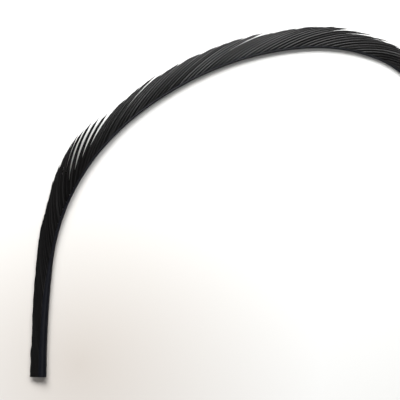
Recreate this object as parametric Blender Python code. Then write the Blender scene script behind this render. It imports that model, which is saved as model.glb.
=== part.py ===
"""A strip of turkey biots, dyed black: a sliver of quill wall with stiff, pointed barbs on one side.

It lies on a surface as one bowed ribbon. Metres, +Z up, origin under the middle of its box.
"""

import math
import random

import bmesh
import bpy
from mathutils import Vector

MM = 0.001

# The quill's outer edge, from the cut end: each bend is a length and a turn to the right in degrees
START_HEADING = 90.0
BENDS = (
    (42 * MM, 6.3),
    (18 * MM, 13.3),
    (30 * MM, 21.4),
    (22 * MM, 13.2),
    (28 * MM, 12.8),
    (35 * MM, 18.7),
    (28 * MM, 25.8),
    (11 * MM, 23.0),
    (32 * MM, 14.0),
)

# The quill sliver: width and height against the distance from the cut end
QUILL_WIDTH = (
    (0 * MM, 3.15 * MM),
    (28 * MM, 2.6 * MM),
    (46 * MM, 1.2 * MM),
    (70 * MM, 0.75 * MM),
    (225 * MM, 0.6 * MM),
    (246 * MM, 0.4 * MM),
)
QUILL_HEIGHT = (
    (0 * MM, 2.6 * MM),
    (46 * MM, 2.1 * MM),
    (150 * MM, 1.8 * MM),
    (225 * MM, 1.6 * MM),
    (246 * MM, 1.1 * MM),
)
QUILL_CREST = 0.4
QUILL_EDGE_HEIGHT = 0.8
QUILL_FOOT = 0.9
VANE_ROOT_HEIGHT = 0.72

# The locks: where their tips lie, how far forward they reach and how far out they end
LOCKS = 77
LOCK_PITCH = 3.5 * MM
FIRST_TIP = 0.8 * MM
REACH = (
    (0 * MM, 28 * MM),
    (50 * MM, 27.5 * MM),
    (60 * MM, 26.5 * MM),
    (75 * MM, 22.5 * MM),
    (84 * MM, 22.5 * MM),
    (90 * MM, 23.7 * MM),
    (99 * MM, 27.3 * MM),
    (103 * MM, 28.5 * MM),
    (245 * MM, 27 * MM),
    (270 * MM, 24 * MM),
)
VANE_WIDTH = (
    (0 * MM, 5.9 * MM),
    (15 * MM, 5.4 * MM),
    (43 * MM, 5.8 * MM),
    (60 * MM, 6.9 * MM),
    (68 * MM, 7.8 * MM),
    (75 * MM, 9.2 * MM),
    (84 * MM, 10.0 * MM),
    (90 * MM, 9.7 * MM),
    (96 * MM, 8.6 * MM),
    (101 * MM, 7.4 * MM),
    (112 * MM, 7.5 * MM),
    (120 * MM, 8.1 * MM),
    (125 * MM, 7.8 * MM),
    (160 * MM, 7.5 * MM),
    (195 * MM, 7.5 * MM),
    (225 * MM, 6.9 * MM),
    (245 * MM, 5.6 * MM),
    (262 * MM, 3.4 * MM),
    (270 * MM, 2.0 * MM),
)
BOW = 1.35
STATIONS = 9
ROOT_THICKNESS = 0.5 * MM
TIP_THICKNESS = 0.3 * MM
RIDGE = 0.18 * MM
CAMBER = 0.5 * MM
TIP_HEIGHT = 0.9 * MM

# Where the locks part from each other, as stations out from the quill
CLOSED_SPLIT = 7
WISP_TIPS = (79 * MM, 101 * MM)
WISP_SPLIT = 3
SLIT_TIPS = (119.6 * MM, 163 * MM)
SLIT_SPLIT = 4
SPIKES_FROM = 236 * MM
SPIKE_SPLIT = 3
LOOSE_NARROWING = 0.5
LOOSE_LIFT = 0.5 * MM
TIP_SCATTER = 0.5 * MM

SEED = 7
BLACK = (0.016, 0.015, 0.016, 1.0)
ROUGHNESS = 0.5
SHARP_ANGLE = math.radians(40)


def along(table, place):
    """The value that a table of (place, value) rows gives, straight between its rows."""
    for (low, first), (high, second) in zip(table, table[1:]):
        if place <= high:
            share = max(0.0, (place - low) / (high - low))
            return first + share * (second - first)
    return table[-1][1]


def edge_at(place):
    """The point on the quill's outer edge at this distance from the cut end, and the heading there."""
    point = Vector((0.0, 0.0))
    heading = math.radians(START_HEADING)
    left = place
    for length, turn in BENDS:
        if left <= 0:
            break
        run = min(left, length)
        swing = math.radians(turn) * run / length
        middle = heading - swing / 2
        chord = run * math.sin(swing / 2) / (swing / 2)
        point += chord * Vector((math.cos(middle), math.sin(middle)))
        heading -= swing
        left -= run
    return point + left * Vector((math.cos(heading), math.sin(heading))), heading


def at(place, out, height):
    """The point this far along the quill, this far out from its edge and this high."""
    point, heading = edge_at(place)
    side = Vector((-math.sin(heading), math.cos(heading)))
    flat = point + out * side
    return Vector((flat.x, flat.y, height))


def barb_point(tip, station):
    """A point on the curve that a barb with its tip at this place follows, station 0 being its root."""
    share = station / STATIONS
    reach = along(REACH, tip)
    root = tip - reach
    start = along(QUILL_WIDTH, root)
    out = start + (along(VANE_WIDTH, tip) - start) * (1 - (1 - share) ** BOW)
    low = VANE_ROOT_HEIGHT * along(QUILL_HEIGHT, root)
    height = low + (TIP_HEIGHT - low) * share + 4 * CAMBER * share * (1 - share)
    return at(root + reach * share, out, height)


def thickness_at(station):
    return ROOT_THICKNESS + (TIP_THICKNESS - ROOT_THICKNESS) * station / STATIONS


def split_of(tip):
    """The station at which two locks part, when the line between them ends at this place."""
    if WISP_TIPS[0] < tip < WISP_TIPS[1]:
        return WISP_SPLIT
    if any(abs(tip - slit) < LOCK_PITCH / 2 for slit in SLIT_TIPS):
        return SLIT_SPLIT
    if tip > SPIKES_FROM:
        return SPIKE_SPLIT
    return CLOSED_SPLIT


def kept_share(station, split):
    """How much of its half width a lock keeps at a station past its split."""
    gone = (station - split) / (STATIONS - split)
    narrowing = LOOSE_NARROWING * min(1.0, 3 * gone) if split < CLOSED_SPLIT else 0.0
    return (1 - narrowing) * (1 - gone**2)


class Strip:
    """Collects the strip's vertices, shared wherever two locks are grown together."""

    def __init__(self):
        self.mesh = bmesh.new()
        self.found = {}
        self.chance = random.Random(SEED)

    def vertex(self, key, point):
        if key not in self.found:
            self.found[key] = self.mesh.verts.new(point)
        return self.found[key]

    def face(self, *corners):
        self.mesh.faces.new(corners)

    def seam_vertices(self, line, station):
        """The top and bottom vertex on the line between two locks, where they are still joined."""
        point = barb_point(line_tip(line), station)
        half = Vector((0, 0, thickness_at(station) / 2))
        top = self.vertex(("seam", line, station, "top"), point + half)
        bottom = self.vertex(("seam", line, station, "bottom"), point - half)
        return top, bottom


def line_tip(line):
    return FIRST_TIP + line * LOCK_PITCH


def lock_sides(strip, lock):
    """The vertices down both sides of a lock and along its ridge, from its root to its tip."""
    middle = line_tip(lock + 0.5)
    loose = min(split_of(line_tip(lock)), split_of(line_tip(lock + 1))) < CLOSED_SPLIT
    scatter = Vector([strip.chance.uniform(-1, 1) * TIP_SCATTER for _ in range(2)] + [0.0])
    scatter.z = strip.chance.uniform(0.2, 1.0) * (LOOSE_LIFT if loose else LOOSE_LIFT / 3)
    sides = {"back": [], "ridge": [], "front": []}
    for station in range(STATIONS + 1):
        half = Vector((0, 0, thickness_at(station) / 2))
        centre = barb_point(middle, station) + scatter * (station / STATIONS) ** 3
        for side, line in (("back", lock), ("front", lock + 1)):
            split = split_of(line_tip(line))
            if station <= split:
                sides[side].append(strip.seam_vertices(line, station))
            elif station == STATIONS:
                top = strip.vertex(("tip", lock, "top"), centre + half)
                bottom = strip.vertex(("tip", lock, "bottom"), centre - half)
                sides[side].append((top, bottom))
            else:
                seam = barb_point(line_tip(line), station)
                offset = (seam - barb_point(middle, station)) * kept_share(station, split)
                top = strip.vertex((side, lock, station, "top"), centre + offset + half)
                bottom = strip.vertex((side, lock, station, "bottom"), centre + offset - half)
                sides[side].append((top, bottom))
        if station < STATIONS:
            crest = centre + half + Vector((0, 0, RIDGE))
            sides["ridge"].append(strip.vertex(("ridge", lock, station), crest))
    return sides


def add_lock(strip, lock):
    sides = lock_sides(strip, lock)
    back, ridge, front = sides["back"], sides["ridge"], sides["front"]
    for near in range(STATIONS - 1):
        far = near + 1
        strip.face(back[near][0], back[far][0], ridge[far], ridge[near])
        strip.face(ridge[near], ridge[far], front[far][0], front[near][0])
        strip.face(back[near][1], front[near][1], front[far][1], back[far][1])
    near = STATIONS - 1
    tip_top, tip_bottom = back[STATIONS]
    strip.face(back[near][0], tip_top, ridge[near])
    strip.face(ridge[near], tip_top, front[near][0])
    strip.face(back[near][1], front[near][1], tip_bottom)
    for side, line, outermost in ((back, lock, 0), (front, lock + 1, LOCKS)):
        open_from = 0 if line == outermost else split_of(line_tip(line))
        for near in range(open_from, STATIONS):
            far = near + 1
            strip.face(side[near][0], side[near][1], side[far][1], side[far][0])


def quill_ring(strip, line):
    """The quill's section where the line between two locks leaves it, from its outer foot round to the vane."""
    tip = line_tip(line)
    root = tip - along(REACH, tip)
    width = along(QUILL_WIDTH, root)
    height = along(QUILL_HEIGHT, root)
    top, bottom = strip.seam_vertices(line, 0)
    corners = (
        ("foot", 0.0, 0.0),
        ("edge", 0.0, QUILL_EDGE_HEIGHT * height),
        ("crest", QUILL_CREST * width, height),
    )
    ring = [strip.vertex((name, line), at(root, out, up)) for name, out, up in corners]
    inner_foot = strip.vertex(("inner foot", line), at(root, QUILL_FOOT * width, 0.0))
    return ring + [top, bottom, inner_foot]


def add_quill(strip):
    rings = [quill_ring(strip, line) for line in range(LOCKS + 1)]
    for lock, (near, far) in enumerate(zip(rings, rings[1:])):
        foot, edge, crest, top, bottom, inner = range(6)
        for first, second in ((foot, edge), (edge, crest), (bottom, inner), (inner, foot)):
            strip.face(near[first], near[second], far[second], far[first])
        ridge = strip.found[("ridge", lock, 0)]
        strip.face(near[crest], near[top], ridge, far[top], far[crest])
    strip.face(*rings[0])
    strip.face(*rings[-1])


def cut_base(mesh):
    """Cuts the strip off square at the start of the quill's edge and closes the cut."""
    everything = mesh.verts[:] + mesh.edges[:] + mesh.faces[:]
    bmesh.ops.bisect_plane(
        mesh, geom=everything, plane_co=(0, 0, 0), plane_no=(0, 1, 0), clear_inner=True
    )
    drop_crumbs(mesh)
    rim = [edge for edge in mesh.edges if edge.is_boundary]
    bmesh.ops.holes_fill(mesh, edges=rim, sides=0)


def drop_crumbs(mesh):
    """Keeps the piece that holds the quill's far end, and drops tips that the cut left loose."""
    start = max(mesh.verts, key=lambda vertex: vertex.co.x)
    kept = {start}
    waiting = [start]
    while waiting:
        for edge in waiting.pop().link_edges:
            for vertex in edge.verts:
                if vertex not in kept:
                    kept.add(vertex)
                    waiting.append(vertex)
    crumbs = [vertex for vertex in mesh.verts if vertex not in kept]
    bmesh.ops.delete(mesh, geom=crumbs, context="VERTS")


def centre_on_floor(mesh):
    """Moves the strip so that the origin is under the middle of its box."""
    spans = [[vertex.co[axis] for vertex in mesh.verts] for axis in range(3)]
    middle_x, middle_y = ((min(span) + max(span)) / 2 for span in spans[:2])
    bmesh.ops.translate(mesh, verts=mesh.verts, vec=(-middle_x, -middle_y, -min(spans[2])))


def dyed_black():
    material = bpy.data.materials.new("dyed_black_biot")
    material.use_nodes = True
    shader = material.node_tree.nodes["Principled BSDF"]
    shader.inputs["Base Color"].default_value = BLACK
    shader.inputs["Roughness"].default_value = ROUGHNESS
    shader.inputs["Metallic"].default_value = 0.0
    return material


def build_strip():
    strip = Strip()
    for lock in range(LOCKS):
        add_lock(strip, lock)
    add_quill(strip)
    cut_base(strip.mesh)
    bmesh.ops.triangulate(strip.mesh, faces=strip.mesh.faces, ngon_method="EAR_CLIP")
    bmesh.ops.recalc_face_normals(strip.mesh, faces=strip.mesh.faces)
    centre_on_floor(strip.mesh)
    data = bpy.data.meshes.new("biot_strip")
    strip.mesh.to_mesh(data)
    strip.mesh.free()
    data.materials.append(dyed_black())
    data.shade_smooth()
    data.set_sharp_from_angle(angle=SHARP_ANGLE)
    strip_object = bpy.data.objects.new("biot_strip", data)
    bpy.context.scene.collection.objects.link(strip_object)


def main():
    for old in list(bpy.data.objects):
        bpy.data.objects.remove(old, do_unlink=True)
    build_strip()


main()
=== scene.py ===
"""The looks of a strip of black-dyed turkey biots: quill sliver and barbs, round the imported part."""

import math
import random

import bmesh
import bpy
import numpy as np
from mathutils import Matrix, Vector, noise


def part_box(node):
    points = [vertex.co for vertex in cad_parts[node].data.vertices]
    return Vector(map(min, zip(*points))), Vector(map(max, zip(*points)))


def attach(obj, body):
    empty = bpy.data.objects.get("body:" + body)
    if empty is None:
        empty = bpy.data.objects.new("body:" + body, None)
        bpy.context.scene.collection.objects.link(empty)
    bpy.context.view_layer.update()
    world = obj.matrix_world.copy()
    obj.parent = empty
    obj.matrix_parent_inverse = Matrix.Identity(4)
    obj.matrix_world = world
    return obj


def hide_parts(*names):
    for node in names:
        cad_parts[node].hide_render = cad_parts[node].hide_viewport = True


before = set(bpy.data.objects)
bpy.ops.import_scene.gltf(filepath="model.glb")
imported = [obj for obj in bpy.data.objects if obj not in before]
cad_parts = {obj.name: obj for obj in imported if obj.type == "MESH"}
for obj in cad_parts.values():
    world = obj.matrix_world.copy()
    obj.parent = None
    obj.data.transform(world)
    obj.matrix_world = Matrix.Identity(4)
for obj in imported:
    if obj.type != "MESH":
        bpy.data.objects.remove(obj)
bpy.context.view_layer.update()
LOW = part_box("biot_strip")[0]

MM = 0.001

# The quill's bare edge, on the inside of the bow. From the cut end, each bend is a length and a turn to
# the right in degrees
START_HEADING = 90.0
BENDS = (
    (42 * MM, 6.3),
    (18 * MM, 13.3),
    (30 * MM, 21.4),
    (22 * MM, 13.2),
    (28 * MM, 12.8),
    (35 * MM, 18.7),
    (28 * MM, 25.8),
    (11 * MM, 23.0),
    (32 * MM, 14.0),
)
EDGE_FROM_LEFT = 6.08 * MM
CUT_END = Vector((LOW.x + EDGE_FROM_LEFT, LOW.y))

# The quill sliver: its width, its height and how far it lies past the edge line, from the cut end on
QUILL_WIDTH = (
    (0 * MM, 3.15 * MM),
    (28 * MM, 2.6 * MM),
    (46 * MM, 1.2 * MM),
    (70 * MM, 0.75 * MM),
    (225 * MM, 0.6 * MM),
    (246 * MM, 0.15 * MM),
)
QUILL_HEIGHT = (
    (0 * MM, 2.6 * MM),
    (46 * MM, 2.1 * MM),
    (150 * MM, 1.8 * MM),
    (225 * MM, 1.6 * MM),
    (246 * MM, 0.5 * MM),
)
QUILL_OUTSET = (
    (0 * MM, 0.28 * MM),
    (218 * MM, 0.28 * MM),
    (238 * MM, 0.0 * MM),
)
QUILL_LENGTH = QUILL_WIDTH[-1][0]
QUILL_STATIONS = 123
QUILL_SIDES = 12
# The foot is flat: what lies below this share of the height is pressed down and drawn in
QUILL_FOOT = 0.3
QUILL_FOOT_WIDTH = 0.85
QUILL_WOBBLE = 0.06 * MM
QUILL_WOBBLE_LENGTH = 3 * MM
QUILL_SMOOTH = math.radians(50)

# The barbs: where they leave the quill, how far forward they reach and how far out they end
BARB_PITCH = 2.9 * MM
ROOT_SCATTER = 0.15 * MM
FIRST_ROOT = -27 * MM
LAST_ROOT = QUILL_LENGTH - 0.5 * MM
LAST_TIP = 269 * MM
LONGEST_REACH = 40 * MM
TIP_HALVINGS = 30
REACH = (
    (0 * MM, 28 * MM),
    (50 * MM, 27.5 * MM),
    (60 * MM, 26.5 * MM),
    (75 * MM, 22.5 * MM),
    (84 * MM, 22.5 * MM),
    (90 * MM, 23.7 * MM),
    (99 * MM, 27.3 * MM),
    (103 * MM, 28.5 * MM),
    (245 * MM, 27 * MM),
    (270 * MM, 24 * MM),
)
VANE_WIDTH = (
    (0 * MM, 6.05 * MM),
    (15 * MM, 5.6 * MM),
    (43 * MM, 5.9 * MM),
    (60 * MM, 6.9 * MM),
    (68 * MM, 7.8 * MM),
    (75 * MM, 9.2 * MM),
    (84 * MM, 10.0 * MM),
    (90 * MM, 9.7 * MM),
    (96 * MM, 8.6 * MM),
    (101 * MM, 7.4 * MM),
    (112 * MM, 7.5 * MM),
    (120 * MM, 8.1 * MM),
    (125 * MM, 7.8 * MM),
    (160 * MM, 7.6 * MM),
    (175 * MM, 7.6 * MM),
    (188 * MM, 8.0 * MM),
    (206 * MM, 8.0 * MM),
    (225 * MM, 7.1 * MM),
    (245 * MM, 5.6 * MM),
    (262 * MM, 3.4 * MM),
    (270 * MM, 2.0 * MM),
)
BOW = 1.3
CAMBER = 0.45 * MM
ROOT_HEIGHT = 0.74
ROOT_IN_QUILL = 0.6
TIP_HEIGHT = 0.9 * MM
TIP_LIFT = 0.1 * MM
LIFT_FROM = 0.2
PULL_POWER = 1.7

# One straight barb: a ridged blade with barbules along both edges
BLADE_LENGTH = 28 * MM
BLADE_STATIONS = 14
BLADE_SIDES = 6
BLADE_WIDTH = 0.8 * MM
BLADE_HEIGHT = 0.3 * MM
SHAFT_SHARE = 0.16
RIDGE_WITHIN = 0.4
CORNER_AT_SIDE = 0.95
BARBULE_PITCH = 0.44 * MM
BARBULE_REACH = 0.56 * MM
BARBULE_WIDTH = 0.07 * MM
BARBULE_SLANT = math.radians(40)
BARBULE_SHARE = 0.95
BARBULE_HIGH = 1.05
BARBULE_FALL = 0.9
SLOPE = math.tan(math.radians(25))
SLOPE_RANGE = (0.8, 1.15)
ROLL = math.radians(3.6)
ROLL_RANGE = (-2.5, 3.0)
FRINGE_RANGE = (0.1, 0.45)
BARB_SMOOTH = math.radians(15)

# How wide a barb is: enough to close the gap to its neighbours, or less where it stands apart
OVERLAP = 0.58
CLOSED_HALF = 0.95 * MM
EDGE_HALF = 0.5 * MM
FREE_HALF = 0.22 * MM
THINNEST_HALF = 0.12 * MM
LOOSE_HALF = 0.23 * MM
LOOSE_FROM = 0.93
LOOSE_POWER = 0.7
POINT = 12.0
LINE_SAMPLES = 36
LINE_STEP = 0.01
PAST_EDGE = 0.2 * MM

# Clumps: up to three barbs whose tips lie together, nearly of one shade and with one tilt
CLUMP_SIZES = (1, 2, 2, 3, 3)
CLUMP_FROM = 0.62
CLUMP_PULL = 0.55
CLUMP_ALONG = (-0.3 * MM, 0.3 * MM)
CLUMP_OUT = (-0.16 * MM, 0.096 * MM)
CLUMP_TONE = 0.6
CLUMP_ROLL = 1.5

# Slits: place of the tip, how wide it opens, from what share of the barbs' length, and how many it moves
SLITS = (
    (57.5 * MM, 0.3 * MM, 0.84, 2),
    (121.3 * MM, 0.85 * MM, 0.35, 4),
    (161.8 * MM, 1.1 * MM, 0.32, 4),
    (180.5 * MM, 0.25 * MM, 0.85, 1),
    (190.6 * MM, 0.9 * MM, 0.6, 1),
    (194.6 * MM, 0.6 * MM, 0.6, 1),
    (197.9 * MM, 1.6 * MM, 0.55, 3),
    (204.4 * MM, 1.7 * MM, 0.55, 3),
    (207.8 * MM, 0.8 * MM, 0.75, 1),
    (229.0 * MM, 0.6 * MM, 0.66, 2),
)
SLIT_OUTER = 0.08
SLIT_INNER = 0.75
SLIT_HALF = 0.34 * MM
SLIT_POINT = 9.0
SLIT_POWER = 1.15
SLIT_WIDENS_BY = 0.4

# How fast a parting's pull falls off from one neighbour to the next
PARTING_FALL = 1.5

# The far end, where the barbs stand free as spikes
SPIKES_FROM = 234 * MM
SPIKE_LOOSE = (0.45, 0.75)
SPIKE_ALONG = (-0.6 * MM, 0.6 * MM)
SPIKE_OUT = (-0.5 * MM, 0.3 * MM)
SPIKE_DRAWN_FROM = 0.4

# The seven wisps behind the bend: tips that the photograph shows, as distance along and out
WISP_TIPS = (
    (82.2 * MM, 9.8 * MM),
    (85.2 * MM, 10.1 * MM),
    (88.1 * MM, 10.2 * MM),
    (90.6 * MM, 9.7 * MM),
    (94.1 * MM, 9.5 * MM),
    (96.9 * MM, 8.7 * MM),
    (100.0 * MM, 7.6 * MM),
)
FIRST_WISP_ROOT = 58.4 * MM
WISP_BOW = 1.5
WISP_HALF = 0.42 * MM
WISP_POINT = 7.0
WISP_DRAWN_FROM = 0.2
WISP_LOOSE_FROM = 0.32
WISP_LOOSE_EARLIER = 0.035
WISP_LOOSE_BY = 0.85
WISP_LOOSE_POWER = 1.1
FRAYED_WISPS = 3
FRAYED_FRINGE = 0.8
CLEAN_FRINGE = 0.15

# The gap that shows between the last wisp and the closed vane
WISP_GAP = 0.25 * MM
WISP_GAP_BARBS = 4
WISP_GAP_LOOSE = (0.3, 0.9)

# Finishes
BARB_DARK = (0.0012, 0.0011, 0.0011, 1)
BARB_LIGHT = (0.0040, 0.0037, 0.0036, 1)
BARB_COOL = (0.0016, 0.0018, 0.0023, 1)
BARB_WARM = (0.0042, 0.0034, 0.0032, 1)
BARB_ROUGHNESS = (0.22, 0.38)
BARB_SHINE = 0.175
PATCH_SHARE = 0.35
PATCH_SCALE = 90.0
BARBULE_LINES = 2.2
BARBULE_LINE_BEND = 1.2
BARB_GRAIN = 6.0
BARB_BUMP = (0.25, 0.04 * MM)
QUILL_DARK = (0.0012, 0.0014, 0.0026, 1)
QUILL_LIGHT = (0.0052, 0.0058, 0.0088, 1)
QUILL_ROUGHNESS = (0.24, 0.58)
QUILL_SHINE = 0.12
QUILL_GRAIN = 1.5
QUILL_GRAIN_STRETCH = (0.25, 6.0, 1.0)
QUILL_BUMP = (0.5, 0.14 * MM)

# Camera: how much is seen across, the point that it looks at, lens and sensor in millimetres
SEEN = 148.15 * MM
LOOK_AT = Vector((-23.08 * MM, 0.76 * MM, 1.5 * MM))
LENS = 200.0
SENSOR = 36.0

# Lamps: name, size, power and place, in metres and watts
LAMPS = (
    ("window", (0.5, 0.32), 9.2, (-0.21, 0.49, 0.365)),
    ("side_window", (0.25, 0.25), 2.6, (0.25, 0.455, 0.43)),
    ("ceiling_lamp", (0.5, 0.5), 2.3, (-0.02, 0.0, 1.1)),
)
ROOM_FADE = (0.15, 0.5)
ROOM_GLOW = (0.4, 0.05)
ROOM_COLOUR = (1.0, 0.99, 0.98, 1)

# Paper: its painted shade, a darker and warmer patch towards the lower left that stands in for the light
# falling off there, fades out with the distance from its centre, in metres
PAPER_SIZE = 3
PAPER_HEIGHT = -0.02 * MM
PAPER_SHADE_CENTRE = (-0.068, -0.06, 0.0)
PAPER_FADE = (0.0, 0.09)
# The painted shade's colour: darker and warmer than the paper's own white
PAPER_SHADED = (0.495, 0.46, 0.426, 1)
PAPER_WHITE = (0.68, 0.68, 0.67, 1)
PAPER_ROUGHNESS = 0.95
PAPER_SHINE = 0.1

# What the random draws start from
SEED = 11


def along(table, place):
    """The value that a table of (place, value) rows gives, straight between its rows."""
    for (low, first), (high, second) in zip(table, table[1:]):
        if place <= high:
            share = max(0.0, (place - low) / (high - low))
            return first + share * (second - first)
    return table[-1][1]


def edge_at(place):
    """The point on the quill's bare edge at this distance from the cut end, and the heading there."""
    point = CUT_END.copy()
    heading = math.radians(START_HEADING)
    left = place
    for length, turn in BENDS:
        if left <= 0:
            break
        run = min(left, length)
        swing = math.radians(turn) * run / length
        middle = heading - swing / 2
        chord = run * math.sin(swing / 2) / (swing / 2)
        point += chord * Vector((math.cos(middle), math.sin(middle)))
        heading -= swing
        left -= run
    return point + left * Vector((math.cos(heading), math.sin(heading))), heading


def at(place, out, height):
    """The point this far along the quill, this far out from its edge and this high."""
    point, heading = edge_at(place)
    side = Vector((-math.sin(heading), math.cos(heading)))
    flat = point + out * side
    return Vector((flat.x, flat.y, height))


def tip_of(root):
    """The place along the quill of the tip of the barb that is rooted here."""
    low, high = root, root + LONGEST_REACH
    for _ in range(TIP_HALVINGS):
        middle = (low + high) / 2
        if middle - along(REACH, middle) < root:
            low = middle
        else:
            high = middle
    return low


def only(thing):
    """Deselects everything else and makes this object the one that operators act on."""
    bpy.ops.object.select_all(action="DESELECT")
    thing.select_set(True)
    bpy.context.view_layer.objects.active = thing


def pick(thing, chosen):
    """Selects, in edit mode, the vertices that the test chooses."""
    mesh = bmesh.from_edit_mesh(thing.data)
    for vertex in mesh.verts:
        vertex.select = False
    mesh.select_flush(False)
    for vertex in mesh.verts:
        vertex.select = chosen(vertex.co)
    mesh.select_flush(True)
    bmesh.update_edit_mesh(thing.data)


def start_bar(name, sides, radius, step, centre):
    """A short bar along x, in edit mode, with its turn and place applied."""
    bpy.ops.object.select_all(action="DESELECT")
    bpy.ops.mesh.primitive_cylinder_add(
        vertices=sides,
        radius=radius,
        depth=step,
        location=(step / 2, centre, centre),
        rotation=(0, math.radians(90), 0),
    )
    bar = bpy.context.object
    bar.name = name
    bpy.ops.object.transform_apply(location=True, rotation=True, scale=True)
    bpy.ops.object.mode_set(mode="EDIT")
    bpy.ops.mesh.select_all(action="SELECT")
    return bar


def draw_out(bar, step, times):
    """Extrudes the end face of a bar in edit mode, step after step."""
    for _ in range(times):
        end = max(vertex.co.x for vertex in bmesh.from_edit_mesh(bar.data).verts)
        pick(bar, lambda point: point.x > end - step / 4)
        bpy.ops.mesh.extrude_region_move(TRANSFORM_OT_translate={"value": (step, 0, 0)})


def model_blade():
    """A straight blade: a six-sided bar drawn out station by station, with thin edges and a raised ridge."""
    step = BLADE_LENGTH / BLADE_STATIONS
    blade = start_bar("blade", BLADE_SIDES, BLADE_WIDTH / 2, step, 0)
    # Two corners lie at the sides, where they become the thin edges
    widest = max(abs(vertex.co.y) for vertex in blade.data.vertices)
    if widest < CORNER_AT_SIDE * BLADE_WIDTH / 2:
        turn = math.pi / BLADE_SIDES
        bpy.ops.transform.rotate(value=turn, orient_axis="X", center_override=(0, 0, 0))
    pick(blade, lambda point: abs(point.y) < RIDGE_WITHIN * BLADE_WIDTH)
    narrow = 2 * SHAFT_SHARE
    flat = BLADE_HEIGHT / BLADE_WIDTH
    bpy.ops.transform.resize(value=(1, narrow, flat), center_override=(0, 0, 0))
    draw_out(blade, step, BLADE_STATIONS - 1)
    bpy.ops.mesh.merge(type="CENTER")
    bpy.ops.object.mode_set(mode="OBJECT")
    return blade


def model_barbule():
    """One barbule: a thin three-sided spike lying slantwise off the shaft."""
    bpy.ops.object.select_all(action="DESELECT")
    bpy.ops.mesh.primitive_cone_add(
        vertices=3,
        radius1=BARBULE_WIDTH / 2,
        depth=BARBULE_REACH,
        end_fill_type="NOTHING",
        location=(0, BARBULE_REACH / 2, 0),
        rotation=(math.radians(-90), 0, 0),
    )
    barbule = bpy.context.object
    barbule.name = "barbule"
    bpy.ops.object.transform_apply(location=True, rotation=True, scale=True)
    shoulder = BLADE_HEIGHT / 2
    for vertex in barbule.data.vertices:
        vertex.co.x += vertex.co.y * math.tan(BARBULE_SLANT)
        vertex.co.z += shoulder * (BARBULE_HIGH - BARBULE_FALL * vertex.co.y / BARBULE_REACH)
    return barbule


def model_fringe(barbule):
    """Both rows of barbules of a straight barb, as an array mirrored to the other edge."""
    only(barbule)
    count = int(BARBULE_SHARE * BLADE_LENGTH / BARBULE_PITCH)
    bpy.ops.object.modifier_add(type="ARRAY")
    row = barbule.modifiers[-1]
    row.count = count
    row.use_relative_offset = False
    row.use_constant_offset = True
    row.constant_offset_displace = (BARBULE_PITCH, 0, 0)
    bpy.ops.object.modifier_apply(modifier=row.name)
    bpy.ops.object.modifier_add(type="MIRROR")
    other = barbule.modifiers[-1]
    other.use_axis = (False, True, False)
    other.use_mirror_merge = False
    bpy.ops.object.modifier_apply(modifier=other.name)
    bpy.ops.object.mode_set(mode="EDIT")
    bpy.ops.mesh.select_all(action="SELECT")
    bpy.ops.mesh.normals_make_consistent(inside=False)
    bpy.ops.object.mode_set(mode="OBJECT")
    return barbule


def lay_uv(thing, spot_of):
    """Lays a UV map on a straight piece, from the place of each of its vertices."""
    layer = thing.data.uv_layers.active or thing.data.uv_layers.new(name="UVMap")
    for loop in thing.data.loops:
        layer.data[loop.index].uv = spot_of(thing.data.vertices[loop.vertex_index].co)


def ease(share, start, power=PULL_POWER):
    """Rises from nothing at the start to one at the tip."""
    gone = max(0.0, (share - start) / (1 - start))
    return gone**power


def rise(share, start, end):
    """Goes straight from nothing at the start to one at the end."""
    return min(1.0, max(0.0, (share - start) / (end - start)))


class Barb:
    """One barb's line: its root on the quill, its tip, and how its end is drawn aside."""

    def __init__(self, root, chance):
        self.root = root
        self.tip = tip_of(root)
        self.width = along(VANE_WIDTH, self.tip)
        self.lift = chance.uniform(0.0, TIP_LIFT)
        self.pulls = []
        self.loose_from = LOOSE_FROM
        self.loose_by = 1.0
        self.loose_half = LOOSE_HALF
        self.loose_power = LOOSE_POWER
        self.bow = BOW
        self.point = POINT
        self.fringe = chance.uniform(*FRINGE_RANGE)
        self.roll = ROLL * chance.uniform(*ROLL_RANGE)
        self.tone = chance.uniform(0.0, 1.0)
        self.slope = SLOPE * chance.uniform(*SLOPE_RANGE)

    def draw_aside(self, along_by, out_by, start, power=PULL_POWER):
        """Moves the barb's tip, and less and less of its length back to the start."""
        self.pulls.append((along_by, out_by, start, power))

    def end(self):
        """Where the tip ends up: along and out."""
        place, out, _ = self.spot(1.0)
        return place, out

    def spot(self, share):
        """Where the barb's middle runs at this share of its length: along, out and up."""
        reach = self.tip - self.root
        start = ROOT_IN_QUILL * along(QUILL_WIDTH, self.root)
        place = self.root + reach * share
        out = start + (self.width - start) * (1 - max(0.0, 1 - share) ** self.bow)
        low = ROOT_HEIGHT * along(QUILL_HEIGHT, self.root)
        up = low + (TIP_HEIGHT - low) * share + 4 * CAMBER * share * (1 - share)
        for along_by, out_by, begin, power in self.pulls:
            drawn = ease(share, begin, power)
            place += along_by * drawn
            out += out_by * drawn
        return place, out, up + self.lift * ease(share, LIFT_FROM)


class Line:
    """A barb's line as sampled points, for the distance from one barb to the next."""

    def __init__(self, barb):
        shares = [n / LINE_SAMPLES for n in range(LINE_SAMPLES + 1)]
        spots = [barb.spot(share) for share in shares]
        self.places = [spot[0] for spot in spots]
        self.outs = [spot[1] for spot in spots]

    def out_at(self, place):
        """How far out the line runs here: past the quill's edge before its root, nowhere past its tip."""
        if place > self.places[-1]:
            return None
        if place < self.places[0]:
            return -along(QUILL_OUTSET, place) - PAST_EDGE
        return float(np.interp(place, self.places, self.outs))


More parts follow.
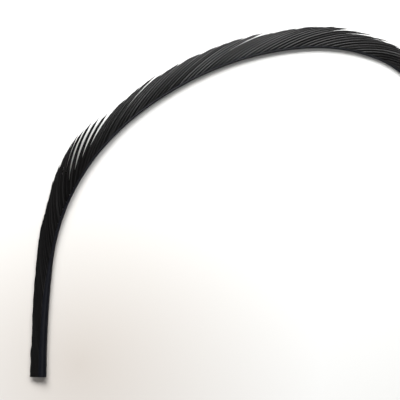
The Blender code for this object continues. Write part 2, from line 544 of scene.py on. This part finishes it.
def half_widths(barb, share, lines):
    """How far the barb reaches to its outer and its inner side here."""
    place, out, _ = barb.spot(share)
    back, front = barb.spot(share - LINE_STEP), barb.spot(share + LINE_STEP)
    lean = math.atan2(front[1] - back[1], front[0] - back[0])
    found = []
    outer, inner = lines
    for line, way in ((outer, 1), (inner, -1)):
        other = None if line is None else line.out_at(place)
        if other is None:
            closed = FREE_HALF
        else:
            apart = way * (other - out) * math.cos(lean)
            limit = CLOSED_HALF + (EDGE_HALF - CLOSED_HALF) * share
            closed = min(limit, max(THINNEST_HALF, OVERLAP * apart))
        parted = rise(share, barb.loose_from, barb.loose_by) ** barb.loose_power
        found.append(closed + (min(closed, barb.loose_half) - closed) * parted)
    point = min(1.0, barb.point * (1 - share))
    return found[0] * point, found[1] * point


def lay_on(piece, barb, lines):
    """Bends a copy of the straight blade along its barb's line and sets its tone."""
    cache = {}
    edge = BLADE_WIDTH / 2
    for vertex in piece.data.vertices:
        share = vertex.co.x / BLADE_LENGTH
        key = round(share, 5)
        if key not in cache:
            middle = at(*barb.spot(share))
            ahead = at(*barb.spot(share + LINE_STEP)) - at(*barb.spot(share - LINE_STEP))
            side = Vector((-ahead.y, ahead.x, 0)).normalized()
            cache[key] = middle, side, half_widths(barb, min(1.0, share), lines)
        middle, side, (outer, inner) = cache[key]
        across = vertex.co.y / edge
        if abs(across) > 1:
            across = math.copysign(1 + (abs(across) - 1) * barb.fringe, across)
        across *= outer if across > 0 else inner
        up = vertex.co.z / (BLADE_HEIGHT / 2) * barb.slope * min(outer, inner)
        up -= across * math.tan(barb.roll)
        vertex.co = middle + across * side + Vector((0, 0, up))
    tone = piece.data.attributes.new("tone", "FLOAT", "POINT")
    tone.data.foreach_set("value", [barb.tone] * len(piece.data.vertices))


def copy_of(model, name):
    """Another object like the model, with its own mesh."""
    twin = bpy.data.objects.new(name, model.data.copy())
    bpy.context.scene.collection.objects.link(twin)
    return twin


def join(parts, name):
    """Makes one piece of several."""
    bpy.ops.object.select_all(action="DESELECT")
    for part in parts:
        part.select_set(True)
    bpy.context.view_layer.objects.active = parts[0]
    bpy.ops.object.join()
    whole = bpy.context.object
    whole.name = name
    whole.data.name = name
    return whole


def cut_square(piece):
    """Cuts a piece off at the strip's cut end and closes the cut."""
    if min(vertex.co.y for vertex in piece.data.vertices) > CUT_END.y:
        return
    only(piece)
    bpy.ops.object.mode_set(mode="EDIT")
    bpy.ops.mesh.select_all(action="SELECT")
    bpy.ops.mesh.bisect(
        plane_co=(0, CUT_END.y, 0), plane_no=(0, 1, 0), use_fill=True, clear_inner=True
    )
    bpy.ops.object.mode_set(mode="OBJECT")


def part_wisps(barbs):
    """Draws the seven free wisps to where their tips are."""
    first = min(range(len(barbs)), key=lambda n: abs(barbs[n].root - FIRST_WISP_ROOT))
    for number, (tip, out) in enumerate(WISP_TIPS):
        barb = barbs[first + number]
        barb.draw_aside(tip - barb.tip, out - barb.width, WISP_DRAWN_FROM)
        barb.loose_from = WISP_LOOSE_FROM - WISP_LOOSE_EARLIER * number
        barb.loose_by = WISP_LOOSE_BY
        barb.loose_power = WISP_LOOSE_POWER
        barb.loose_half = WISP_HALF
        barb.bow = WISP_BOW
        barb.point = WISP_POINT
        barb.fringe = FRAYED_FRINGE if number < FRAYED_WISPS else CLEAN_FRINGE
    return set(range(first, first + len(WISP_TIPS)))


def parting_share(number, moved):
    """How much of a parting the barb takes on that is this many places away from it."""
    return (1 - number / moved) ** PARTING_FALL


def part_from_wisps(barbs, last):
    """Draws the vane's first barbs past the wisps inwards, so that a gap shows beside the last wisp."""
    for number in range(WISP_GAP_BARBS):
        drawn = WISP_GAP * parting_share(number, WISP_GAP_BARBS)
        barbs[last + 1 + number].draw_aside(0, -drawn, WISP_GAP_LOOSE[0], SLIT_POWER)
    barbs[last + 1].loose_from, barbs[last + 1].loose_by = WISP_GAP_LOOSE


def nearest(barbs, place):
    """The number of the barb whose tip lies nearest to this place."""
    return min(range(len(barbs)), key=lambda n: abs(barbs[n].tip - place))


def gather_clumps(barbs, apart, chance):
    """Draws the tips of up to three neighbours together, clump after clump, never across a slit."""
    starts = {nearest(barbs, slit[0]) + 1 for slit in SLITS}
    number = 0
    while number < len(barbs):
        size = chance.choice(CLUMP_SIZES)
        stop = min([number + size, len(barbs)] + [n for n in starts if n > number])
        clump = [n for n in range(number, stop) if n not in apart]
        number = stop
        if not clump:
            continue
        tips = [barbs[n].end() for n in clump]
        middle = sum(tip[0] for tip in tips) / len(tips)
        along_by = chance.uniform(*CLUMP_ALONG)
        out_by = chance.uniform(*CLUMP_OUT)
        tone = chance.uniform(0.0, 1.0)
        roll = ROLL * chance.uniform(-CLUMP_ROLL, CLUMP_ROLL)
        for n, tip in zip(clump, tips):
            pull = CLUMP_PULL * (middle - tip[0])
            barbs[n].draw_aside(pull + along_by, out_by, CLUMP_FROM)
            barbs[n].tone = (1 - CLUMP_TONE) * barbs[n].tone + CLUMP_TONE * tone
            barbs[n].roll += roll


def open_slits(barbs):
    """Parts the barbs on both sides of each slit."""
    for place, opening, start, moved in SLITS:
        last = nearest(barbs, place)
        shift = place - barbs[last].end()[0]
        for number in range(moved):
            share = parting_share(number, moved)
            outer = barbs[last - number]
            inner = barbs[last + 1 + number]
            outer.draw_aside(shift * share, SLIT_OUTER * opening * share, start, SLIT_POWER)
            inner.draw_aside(0, -SLIT_INNER * opening * share, start, SLIT_POWER)
        for barb in (barbs[last], barbs[last + 1]):
            barb.loose_from = start
            barb.loose_by = start + SLIT_WIDENS_BY * (1 - start)
            barb.loose_half = SLIT_HALF
        barbs[last].point = SLIT_POINT


def plan_barbs():
    """Every barb from the cut end to the far end, with the wisps, slits and clumps drawn."""
    chance = random.Random(SEED)
    barbs = []
    root = FIRST_ROOT
    while tip_of(root) < LAST_TIP and root < LAST_ROOT:
        barbs.append(Barb(root + chance.uniform(-ROOT_SCATTER, ROOT_SCATTER), chance))
        root += BARB_PITCH
    apart = part_wisps(barbs)
    gather_clumps(barbs, apart, chance)
    part_from_wisps(barbs, max(apart))
    open_slits(barbs)
    for barb in barbs:
        if barb.tip > SPIKES_FROM:
            barb.loose_from, barb.loose_by = SPIKE_LOOSE
            barb.draw_aside(chance.uniform(*SPIKE_ALONG), chance.uniform(*SPIKE_OUT), SPIKE_DRAWN_FROM)
    return barbs


def add(nodes, kind, **values):
    """Adds a shader node and sets its own values and its inputs by name."""
    node = nodes.new(kind)
    for name, value in values.items():
        if name in node.inputs:
            node.inputs[name].default_value = value
        else:
            setattr(node, name, value)
    return node


def mix(nodes, links, factor, first, second):
    """A colour mixed from two, each a colour or an output, by a number or an output."""
    node = nodes.new("ShaderNodeMix")
    node.data_type = "RGBA"
    if isinstance(factor, float):
        node.inputs["Factor"].default_value = factor
    else:
        links.new(factor, node.inputs["Factor"])
    for name, colour in (("A", first), ("B", second)):
        socket = next(item for item in node.inputs if item.name == name and item.type == "RGBA")
        if isinstance(colour, tuple):
            socket.default_value = colour
        else:
            links.new(colour, socket)
    return next(item for item in node.outputs if item.type == "RGBA")


def new_look(name):
    """A new material with its nodes, its links and its main shader."""
    look = bpy.data.materials.new(name)
    look.use_nodes = True
    nodes = look.node_tree.nodes
    return look, nodes, look.node_tree.links, nodes["Principled BSDF"]


def roughen(nodes, links, shader, grain, limits):
    """Lets the roughness follow the grain between its limits."""
    rough = add(nodes, "ShaderNodeMapRange")
    rough.inputs["To Min"].default_value = limits[0]
    rough.inputs["To Max"].default_value = limits[1]
    links.new(grain, rough.inputs["Value"])
    links.new(rough.outputs["Result"], shader.inputs["Roughness"])


def emboss(nodes, links, shader, height, strength, distance):
    """Raises the surface a little where the height is greater."""
    bump = add(nodes, "ShaderNodeBump", Strength=strength, Distance=distance)
    links.new(height, bump.inputs["Height"])
    links.new(bump.outputs["Normal"], shader.inputs["Normal"])


def dyed_barbs():
    """Near-black dyed keratin, each barb its own shade, with a grain and barbule lines slanting across."""
    look, nodes, links, shader = new_look("dyed_barbs")
    tone = add(nodes, "ShaderNodeAttribute", attribute_name="tone")
    shade = mix(nodes, links, tone.outputs["Fac"], BARB_DARK, BARB_LIGHT)
    place = add(nodes, "ShaderNodeTexCoord")
    patches = add(nodes, "ShaderNodeTexNoise", Scale=PATCH_SCALE, Detail=3.0)
    links.new(place.outputs["Object"], patches.inputs["Vector"])
    patched = mix(nodes, links, patches.outputs["Fac"], BARB_COOL, BARB_WARM)
    colour = mix(nodes, links, PATCH_SHARE, shade, patched)
    links.new(colour, shader.inputs["Base Color"])

    barbules = add(nodes, "ShaderNodeTexWave", Scale=BARBULE_LINES, Distortion=BARBULE_LINE_BEND)
    barbules.wave_type = "BANDS"
    barbules.bands_direction = "DIAGONAL"
    links.new(place.outputs["UV"], barbules.inputs["Vector"])
    grain = add(nodes, "ShaderNodeTexNoise", Scale=BARB_GRAIN, Detail=4.0)
    links.new(place.outputs["UV"], grain.inputs["Vector"])
    height = add(nodes, "ShaderNodeMath", operation="ADD")
    links.new(barbules.outputs["Fac"], height.inputs[0])
    links.new(grain.outputs["Fac"], height.inputs[1])
    emboss(nodes, links, shader, height.outputs[0], *BARB_BUMP)
    roughen(nodes, links, shader, grain.outputs["Fac"], BARB_ROUGHNESS)
    shader.inputs["Specular IOR Level"].default_value = BARB_SHINE
    return look


def dyed_quill():
    """The quill sliver's outside: smooth, bluish black, with a fine grain along it."""
    look, nodes, links, shader = new_look("dyed_quill")
    place = add(nodes, "ShaderNodeTexCoord")
    stretch = add(nodes, "ShaderNodeMapping", Scale=QUILL_GRAIN_STRETCH)
    links.new(place.outputs["UV"], stretch.inputs["Vector"])
    grain = add(nodes, "ShaderNodeTexNoise", Scale=QUILL_GRAIN, Detail=5.0)
    links.new(stretch.outputs["Vector"], grain.inputs["Vector"])
    colour = mix(nodes, links, grain.outputs["Fac"], QUILL_DARK, QUILL_LIGHT)
    links.new(colour, shader.inputs["Base Color"])
    roughen(nodes, links, shader, grain.outputs["Fac"], QUILL_ROUGHNESS)
    emboss(nodes, links, shader, grain.outputs["Fac"], *QUILL_BUMP)
    shader.inputs["Specular IOR Level"].default_value = QUILL_SHINE
    return look


def model_quill():
    """The quill sliver, drawn out straight station by station and then bent along its edge."""
    step = QUILL_LENGTH / QUILL_STATIONS
    # The straight bar is one unit wide and high, and each station then takes its own width and height
    quill = start_bar("quill_sliver", QUILL_SIDES, 0.5, step, 0.5)
    pick(quill, lambda point: point.z < QUILL_FOOT)
    bpy.ops.transform.resize(value=(1, QUILL_FOOT_WIDTH, 0.0), center_override=(0, 0.5, 0))
    draw_out(quill, step, QUILL_STATIONS - 1)
    bpy.ops.object.mode_set(mode="OBJECT")
    lay_uv(quill, lambda point: (point.x / MM, math.atan2(point.z, point.y - 0.5)))
    for vertex in quill.data.vertices:
        place = vertex.co.x
        width = along(QUILL_WIDTH, place)
        height = along(QUILL_HEIGHT, place)
        outset = along(QUILL_OUTSET, place)
        wobble = QUILL_WOBBLE * noise.noise(Vector((place / QUILL_WOBBLE_LENGTH, 0, 0)))
        out = min(1.0, max(0.0, vertex.co.y)) * (width + outset) - outset + wobble
        vertex.co = at(place, out, max(0.0, vertex.co.z) * height)
    only(quill)
    bpy.ops.object.shade_smooth_by_angle(angle=QUILL_SMOOTH)
    quill.data.materials.append(dyed_quill())
    return quill


def model_vane():
    """Every barb as its own copy of the straight one, laid on its line and joined into one piece."""
    look = dyed_barbs()
    model = join([model_blade(), model_fringe(model_barbule())], "straight_barb")
    lay_uv(model, lambda point: (point.x / MM, point.y / MM))
    model.data.materials.append(look)
    made = []
    barbs = plan_barbs()
    lines = [None] + [Line(barb) for barb in barbs] + [None]
    for number, barb in enumerate(barbs):
        piece = copy_of(model, f"barb_{number}")
        lay_on(piece, barb, (lines[number], lines[number + 2]))
        cut_square(piece)
        made.append(piece)
    bpy.data.objects.remove(model)
    vane = join(made, "vane_barbs")
    only(vane)
    bpy.ops.object.shade_smooth_by_angle(angle=BARB_SMOOTH)
    return vane


def dress_strip():
    """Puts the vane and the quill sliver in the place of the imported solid."""
    for piece in (model_vane(), model_quill()):
        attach(piece, "root")
        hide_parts("biot_strip")


def lay_paper():
    """The sheet under the strip: pale, with painted shade that makes it darker and warmer towards the lower
    left.
    """
    bpy.ops.object.select_all(action="DESELECT")
    bpy.ops.mesh.primitive_plane_add(size=PAPER_SIZE, location=(0, 0, PAPER_HEIGHT))
    floor = bpy.context.object
    floor.name = "floor"
    look, nodes, links, shader = new_look("paper")
    spot = add(nodes, "ShaderNodeTexCoord")
    away = add(nodes, "ShaderNodeVectorMath", operation="DISTANCE")
    away.inputs[1].default_value = PAPER_SHADE_CENTRE
    links.new(spot.outputs["Object"], away.inputs[0])
    fade = add(nodes, "ShaderNodeMapRange")
    fade.inputs["From Min"].default_value = PAPER_FADE[0]
    fade.inputs["From Max"].default_value = PAPER_FADE[1]
    links.new(away.outputs["Value"], fade.inputs["Value"])
    # Painted shade: the paper's colour turns darker and warmer near the lower left
    colour = mix(nodes, links, fade.outputs["Result"], PAPER_SHADED, PAPER_WHITE)
    links.new(colour, shader.inputs["Base Color"])
    shader.inputs["Roughness"].default_value = PAPER_ROUGHNESS
    shader.inputs["Specular IOR Level"].default_value = PAPER_SHINE
    floor.data.materials.append(look)


def set_camera():
    """The camera, looking straight down on as much of the strip as the photograph shows."""
    camera_data = bpy.data.cameras.new("camera")
    camera_data.lens = LENS
    camera_data.sensor_width = SENSOR
    camera = bpy.data.objects.new("camera", camera_data)
    camera.location = LOOK_AT + Vector((0, 0, SEEN * LENS / SENSOR))
    bpy.context.scene.collection.objects.link(camera)
    bpy.context.scene.camera = camera


def hang_lamps():
    """The two windows and the ceiling lamp, each turned to the middle of the picture."""
    for name, size, power, place in LAMPS:
        lamp = bpy.data.lights.new(name, "AREA")
        lamp.shape = "RECTANGLE"
        lamp.size, lamp.size_y = size
        lamp.energy = power
        shining = bpy.data.objects.new(name, lamp)
        shining.location = place
        aim = Vector((LOOK_AT.x, LOOK_AT.y, 0)) - shining.location
        shining.rotation_euler = aim.to_track_quat("-Z", "Y").to_euler()
        bpy.context.scene.collection.objects.link(shining)


def light_room():
    """The room's own light: brighter from low down than from above."""
    world = bpy.data.worlds.new("room")
    world.use_nodes = True
    nodes = world.node_tree.nodes
    links = world.node_tree.links
    direction = add(nodes, "ShaderNodeTexCoord")
    parts = add(nodes, "ShaderNodeSeparateXYZ")
    links.new(direction.outputs["Generated"], parts.inputs[0])
    glow = add(nodes, "ShaderNodeMapRange")
    glow.inputs["From Min"].default_value = ROOM_FADE[0]
    glow.inputs["From Max"].default_value = ROOM_FADE[1]
    glow.inputs["To Min"].default_value = ROOM_GLOW[0]
    glow.inputs["To Max"].default_value = ROOM_GLOW[1]
    links.new(parts.outputs["Z"], glow.inputs["Value"])
    links.new(glow.outputs["Result"], nodes["Background"].inputs["Strength"])
    nodes["Background"].inputs["Color"].default_value = ROOM_COLOUR
    bpy.context.scene.world = world
    bpy.context.scene.view_settings.view_transform = "Standard"


dress_strip()
lay_paper()
set_camera()
hang_lamps()
light_room()
